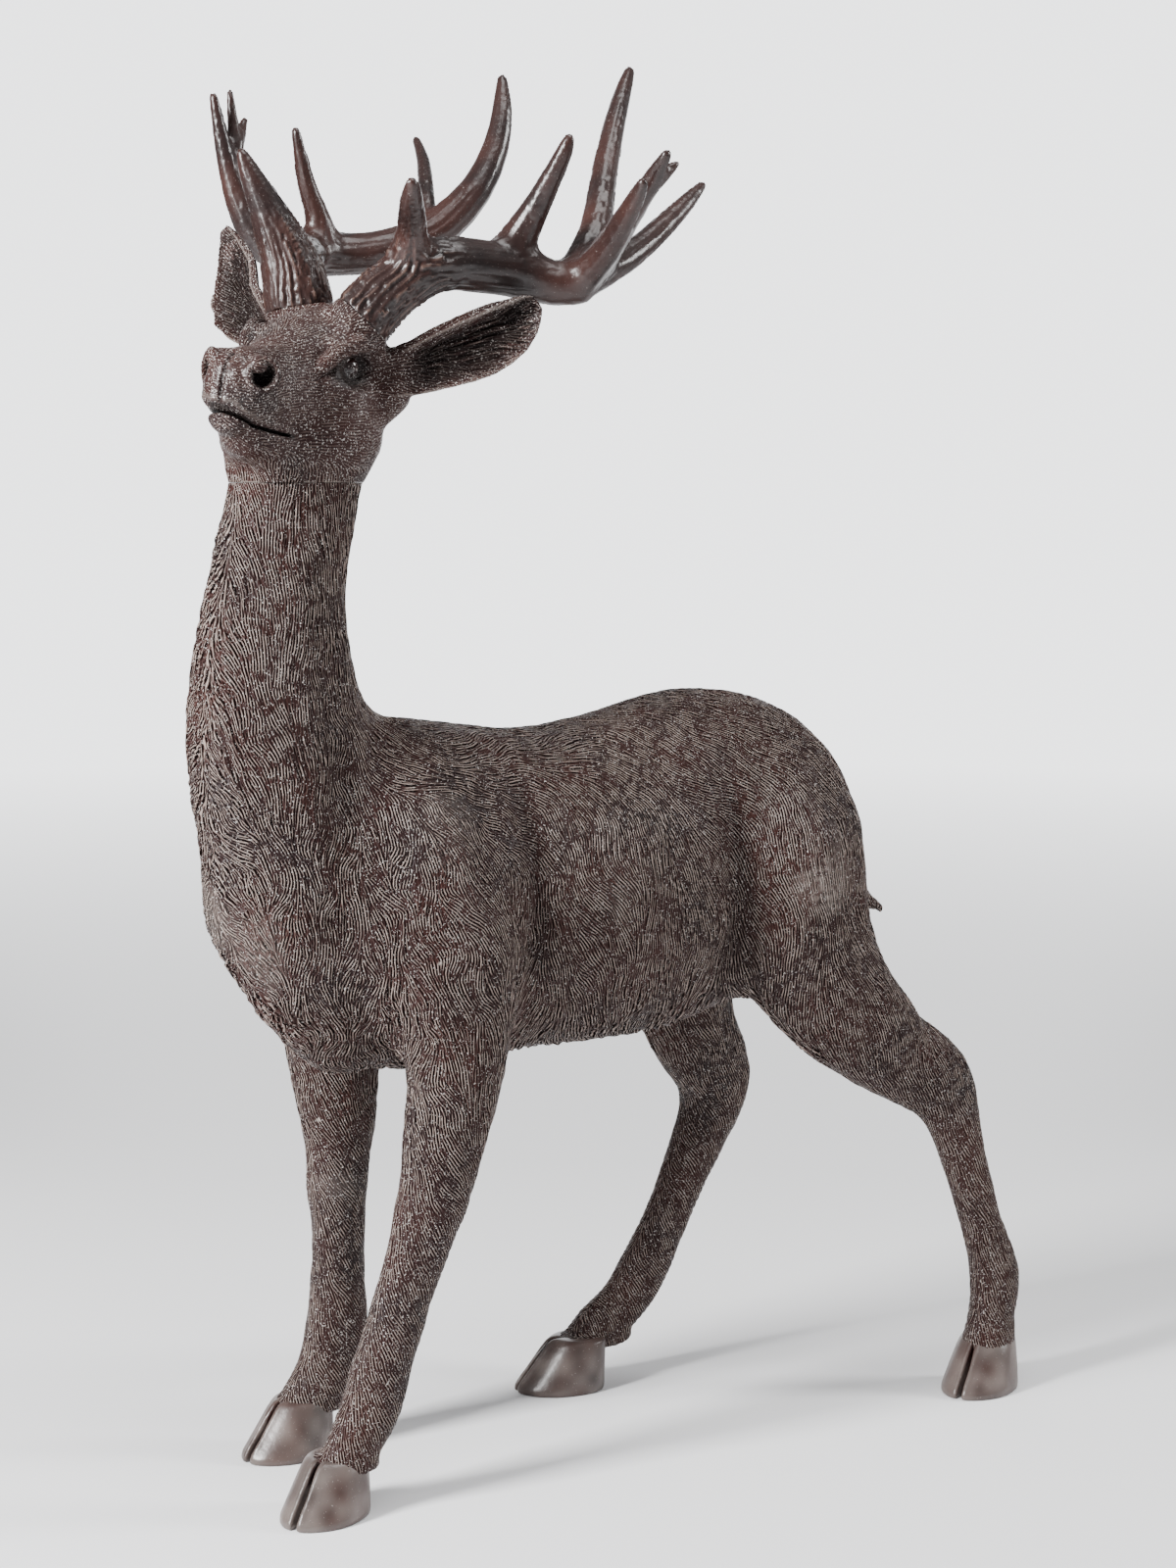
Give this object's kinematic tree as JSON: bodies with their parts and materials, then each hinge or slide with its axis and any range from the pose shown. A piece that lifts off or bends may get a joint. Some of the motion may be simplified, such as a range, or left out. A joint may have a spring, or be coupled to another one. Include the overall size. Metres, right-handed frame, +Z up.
{
  "type": "stag sculpture",
  "caption": "Life-size standing stag, head raised and turned, with branched antlers and a carved coat.",
  "frame": {"origin": "on the ground under the middle of the outline", "axes": "+Z up, the stag faces -Y, its left side is +X"},
  "size_m": [0.6124, 1.1734, 1.7388],
  "materials": {
    "coat": "cast resin with a bronze-brown patina and dry-brushed tan highlights",
    "horn": "satin red-brown patina, darker in the grooves"
  },
  "bodies": {
    "root": {"body": "coat", "head": "coat", "antler_left": "horn", "antler_right": "horn"}
  },
  "joints": []
}
